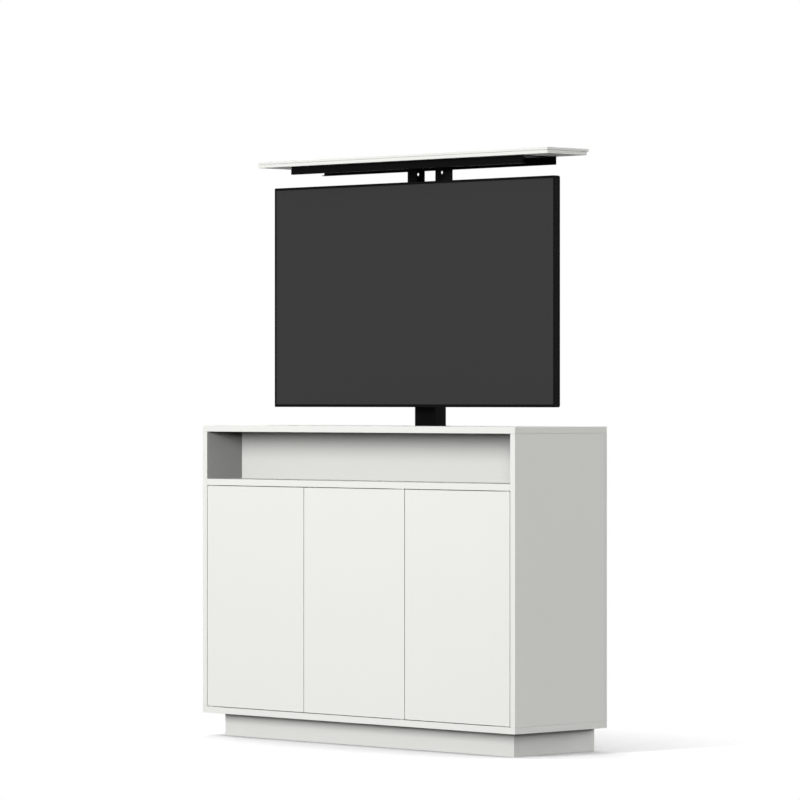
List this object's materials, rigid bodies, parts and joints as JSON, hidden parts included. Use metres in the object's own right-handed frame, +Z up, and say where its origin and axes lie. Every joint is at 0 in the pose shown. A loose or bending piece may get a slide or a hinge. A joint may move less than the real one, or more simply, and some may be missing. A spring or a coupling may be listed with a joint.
{
  "type": "television lift cabinet",
  "caption": "Low white cabinet with an open niche above flush handleless doors, and a telescopic lift that raises a flat television and a lid out of its top.",
  "frame": {"origin": "on the floor, at the centre of the cabinet's width and depth", "axes": "+X to the right seen from the front, +Y to the back, +Z up"},
  "size_m": [1.25, 0.364, 1.658],
  "materials": {
    "white_lacquer": "matt white lacquer on fibreboard",
    "white_back": "matt white laminate",
    "black_steel": "fine black powder coat",
    "zinc_steel": "zinc plated",
    "black_plastic": "moulded, fine texture",
    "grey_plastic": "moulded",
    "tv_plastic": "moulded, satin",
    "screen": "anti-glare film over a dark panel"
  },
  "bodies": {
    "cabinet": {"top_board": "white_lacquer", "bottom_board": "white_lacquer", "left_side": "white_lacquer", "right_side": "white_lacquer", "back_panel": "white_back", "service_cover": "white_back", "cable_grommet": "black_plastic", "niche_floor": "white_lacquer", "shaft_divider": "white_lacquer", "left_partition": "white_lacquer", "right_partition": "white_lacquer", "left_shelf": "white_lacquer", "middle_shelf": "white_lacquer", "right_shelf": "white_lacquer", "plinth_front": "white_lacquer", "plinth_rear": "white_lacquer", "plinth_left": "white_lacquer", "plinth_right": "white_lacquer", "lift_rail": "white_lacquer", "left_latch_housing": "grey_plastic", "middle_latch_housing": "grey_plastic", "right_latch_housing": "grey_plastic", "lift_foot_plate": "black_steel", "outer_column": "black_steel", "outer_column_guide": "black_plastic", "gear_housing": "black_plastic", "drive_motor": "zinc_steel", "control_box": "black_plastic", "left_column_bracket": "black_steel", "right_column_bracket": "black_steel"},
    "left_door_leaf": {"left_door": "white_lacquer", "left_door_lower_pivot": "zinc_steel", "left_door_upper_pivot": "zinc_steel"},
    "middle_door_leaf": {"middle_door": "white_lacquer", "middle_door_lower_pivot": "zinc_steel", "middle_door_upper_pivot": "zinc_steel"},
    "right_door_leaf": {"right_door": "white_lacquer", "right_door_lower_pivot": "zinc_steel", "right_door_upper_pivot": "zinc_steel"},
    "left_plunger": {"left_latch_plunger": "black_plastic"},
    "middle_plunger": {"middle_latch_plunger": "black_plastic"},
    "right_plunger": {"right_latch_plunger": "black_plastic"},
    "middle_stage": {"middle_column": "black_steel", "middle_column_guide": "black_plastic", "middle_column_shoe": "black_plastic"},
    "carriage": {"inner_column": "black_steel", "inner_column_shoe": "black_plastic", "crosshead": "black_steel", "hanger_plate": "black_steel", "left_tv_arm": "black_steel", "right_tv_arm": "black_steel", "left_upright": "black_steel", "right_upright": "black_steel", "lid_carrier": "black_steel", "lid_base": "white_lacquer", "lid_cover": "white_lacquer", "tv_bezel": "tv_plastic", "tv_screen": "screen", "tv_rear_shell": "tv_plastic"}
  },
  "joints": [
    {"name": "left_door_swing", "type": "hinge", "parent": "cabinet", "child": "left_door_leaf", "pos_m": [-0.593, -0.177, 0.086], "axis": [0, 0, -1], "range_deg": [0, 95]},
    {"name": "middle_door_swing", "type": "hinge", "parent": "cabinet", "child": "middle_door_leaf", "pos_m": [0.189, -0.177, 0.086], "axis": [0, 0, 1], "range_deg": [0, 95]},
    {"name": "right_door_swing", "type": "hinge", "parent": "cabinet", "child": "right_door_leaf", "pos_m": [0.593, -0.177, 0.086], "axis": [0, 0, 1], "range_deg": [0, 95]},
    {"name": "left_latch_press", "type": "slide", "parent": "cabinet", "child": "left_plunger", "axis": [0, 1, 0], "range_m": [0, 0.002], "stiffness_N_per_m": 900},
    {"name": "middle_latch_press", "type": "slide", "parent": "cabinet", "child": "middle_plunger", "axis": [0, 1, 0], "range_m": [0, 0.002], "stiffness_N_per_m": 900},
    {"name": "right_latch_press", "type": "slide", "parent": "cabinet", "child": "right_plunger", "axis": [0, 1, 0], "range_m": [0, 0.002], "stiffness_N_per_m": 900},
    {"name": "lift_lower_stage", "type": "slide", "parent": "cabinet", "child": "middle_stage", "axis": [0, 0, 1], "range_m": [-0.382, 0]},
    {"name": "lift_upper_stage", "type": "slide", "parent": "middle_stage", "child": "carriage", "axis": [0, 0, 1], "range_m": [-0.382, 0]}
  ],
  "couplings": [
    {"joint": "lift_upper_stage", "follows": "lift_lower_stage", "ratio": 1}
  ]
}
